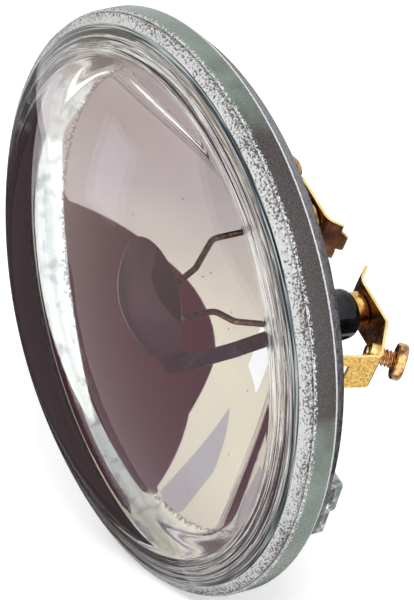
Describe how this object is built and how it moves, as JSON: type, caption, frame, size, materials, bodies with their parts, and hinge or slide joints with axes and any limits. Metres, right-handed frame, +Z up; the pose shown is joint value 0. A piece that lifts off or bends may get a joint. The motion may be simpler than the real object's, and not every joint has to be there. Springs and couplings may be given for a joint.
{
  "type": "par spotlight bulb",
  "caption": "Sealed reflector lamp with a clear domed lens fused to a mirrored glass bowl, a shielded coil inside and folded brass screw terminals on the back.",
  "frame": {"origin": "middle of the rim's straight side, on the lamp's axis", "axes": "+Y along the lamp's axis towards the terminals, so the light leaves along -Y; +Z up"},
  "size_m": [0.112, 0.0608, 0.112],
  "materials": {
    "clear_glass": "clear, smooth",
    "mirrored_glass": "pressed glass with a mirror coating inside",
    "tube_glass": "melted shut",
    "ferrule_metal": "golden, dark where it is in the glass",
    "terminal_brass": "rolled sheet, a little tarnished",
    "screw_brass": "coppery, tarnished",
    "lead_metal": "brown from heat",
    "shield_metal": "dark, glossy",
    "tungsten": "dull grey",
    "braze_metal": "flowed bead"
  },
  "bodies": {
    "lamp": {"lens": "clear_glass", "reflector": "mirrored_glass", "exhaust_tube": "tube_glass", "ferrule_lower": "ferrule_metal", "ferrule_upper": "ferrule_metal", "terminal_lower": "terminal_brass", "terminal_upper": "terminal_brass", "lead_wire_upper": "lead_metal", "lead_wire_lower": "lead_metal", "shield_strap": "lead_metal", "filament_shield": "shield_metal", "filament": "tungsten", "braze_upper": "braze_metal", "braze_lower": "braze_metal"},
    "screw_lower": {"screw_lower": "screw_brass"},
    "screw_upper": {"screw_upper": "screw_brass"}
  },
  "joints": [
    {"name": "screw_lower_drive", "type": "slide", "parent": "lamp", "child": "screw_lower", "axis": [0.5041, 0.807, -0.3077], "range_m": [-0.00308, 0.002]},
    {"name": "screw_upper_drive", "type": "slide", "parent": "lamp", "child": "screw_upper", "axis": [-0.5041, 0.807, 0.3077], "range_m": [-0.00308, 0.002]}
  ]
}
